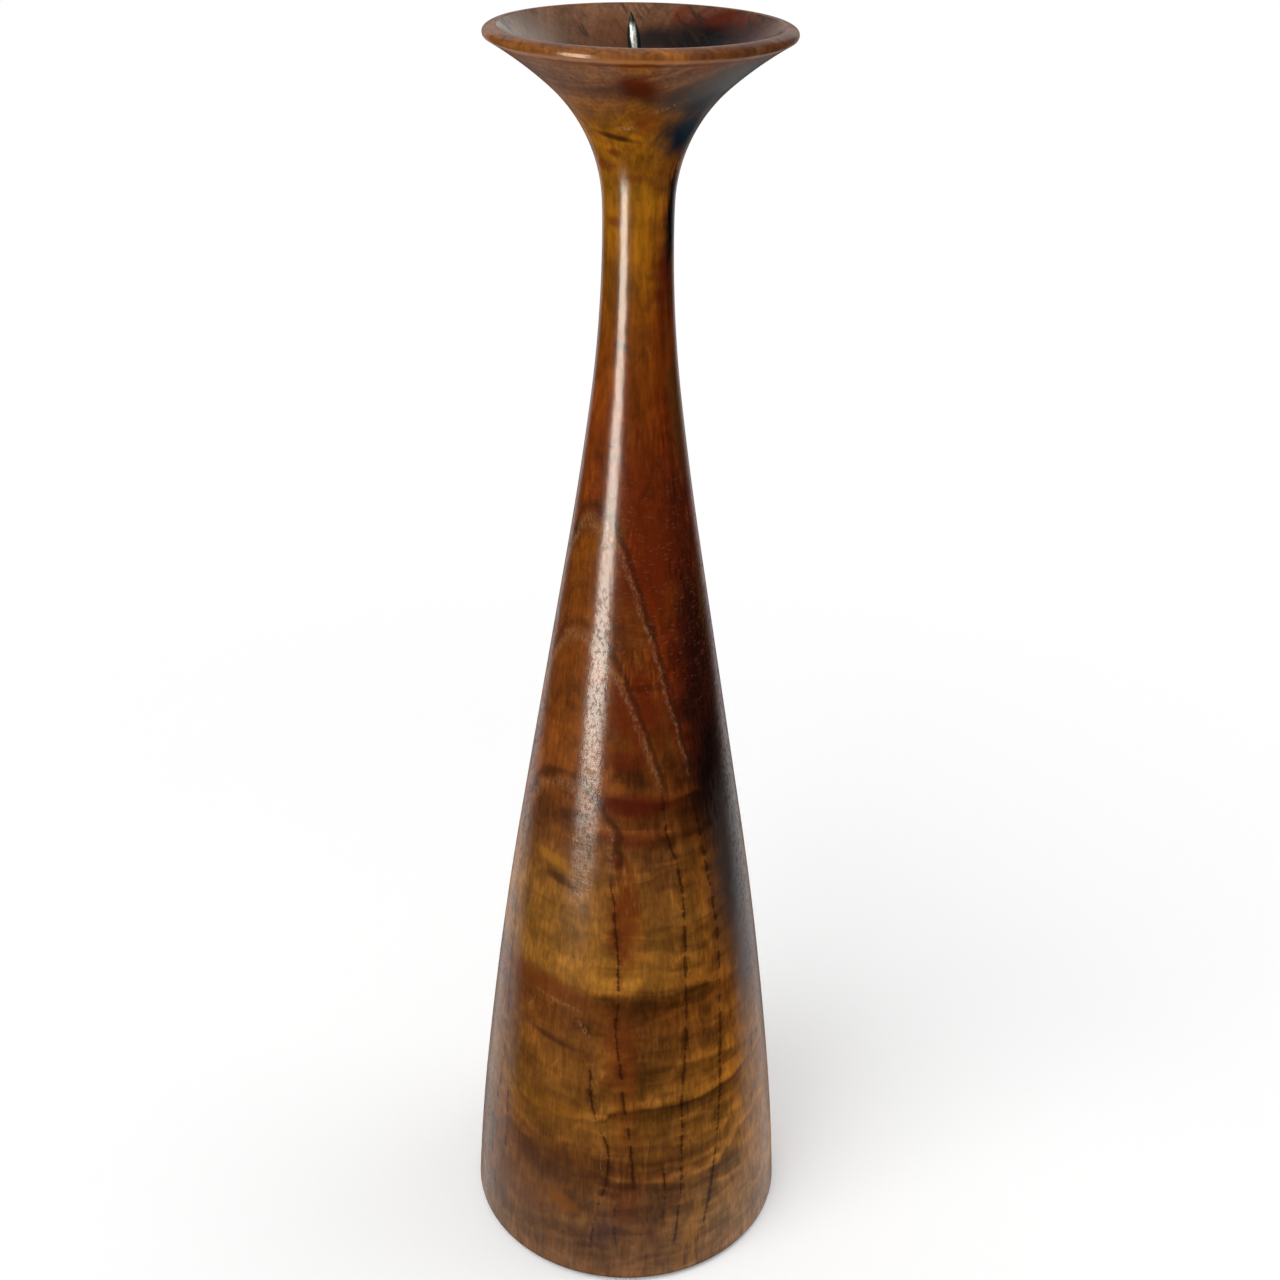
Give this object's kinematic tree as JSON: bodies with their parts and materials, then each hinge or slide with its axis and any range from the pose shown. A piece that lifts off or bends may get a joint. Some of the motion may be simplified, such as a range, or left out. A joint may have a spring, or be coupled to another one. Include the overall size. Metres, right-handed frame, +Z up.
{
  "type": "pricket candle stand",
  "caption": "Tall turned wooden stand with a tapering column, a narrow neck and a flared dish, with a steel pricket for a candle.",
  "frame": {"origin": "middle of the foot, on the surface that the stand rests on", "axes": "+Z up along the turning axis, +X to the viewer's right, -Y towards the viewer; the pricket leans to -X"},
  "size_m": [0.095, 0.095, 0.3586],
  "materials": {
    "lacquered_wood": "semi-gloss lacquer over figured red-brown hardwood",
    "steel": "bright steel with dark patina",
    "felt": "dark felt"
  },
  "bodies": {
    "root": {"turned_stand": "lacquered_wood", "pricket_spike": "steel", "felt_pad": "felt"}
  },
  "joints": []
}
